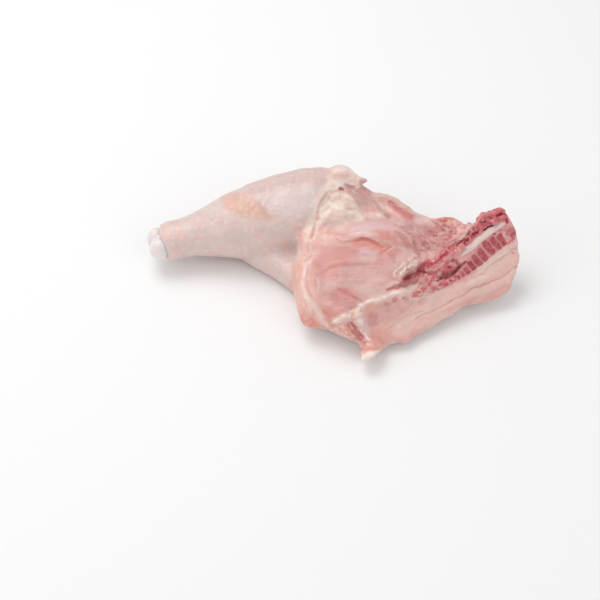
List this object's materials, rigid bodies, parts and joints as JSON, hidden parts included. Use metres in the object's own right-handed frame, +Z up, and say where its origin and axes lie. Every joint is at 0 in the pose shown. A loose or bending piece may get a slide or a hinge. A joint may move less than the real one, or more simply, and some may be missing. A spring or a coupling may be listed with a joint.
{
  "type": "raw chicken leg quarter",
  "caption": "Raw chicken leg quarter, skin side down: half of the back with its sawn backbone and spinal cord, the thigh and the bent drumstick in one piece.",
  "frame": {"origin": "under the middle of the piece's box, on the surface that it lies on", "axes": "+X from the hock towards the head end of the back, along the longest extent; +Y from the sawn edge towards the knee; +Z up, out of the inner side"},
  "size_m": [0.2234, 0.1308, 0.0521],
  "materials": {
    "flesh": "moist raw meat and skin",
    "bone": "sawn red bone, moist",
    "nerve": "soft and moist",
    "cartilage": "smooth wet gristle"
  },
  "bodies": {
    "root": {"flesh": "flesh", "backbone": "bone", "spinal_cord": "nerve", "hock_joint": "cartilage"}
  },
  "joints": []
}
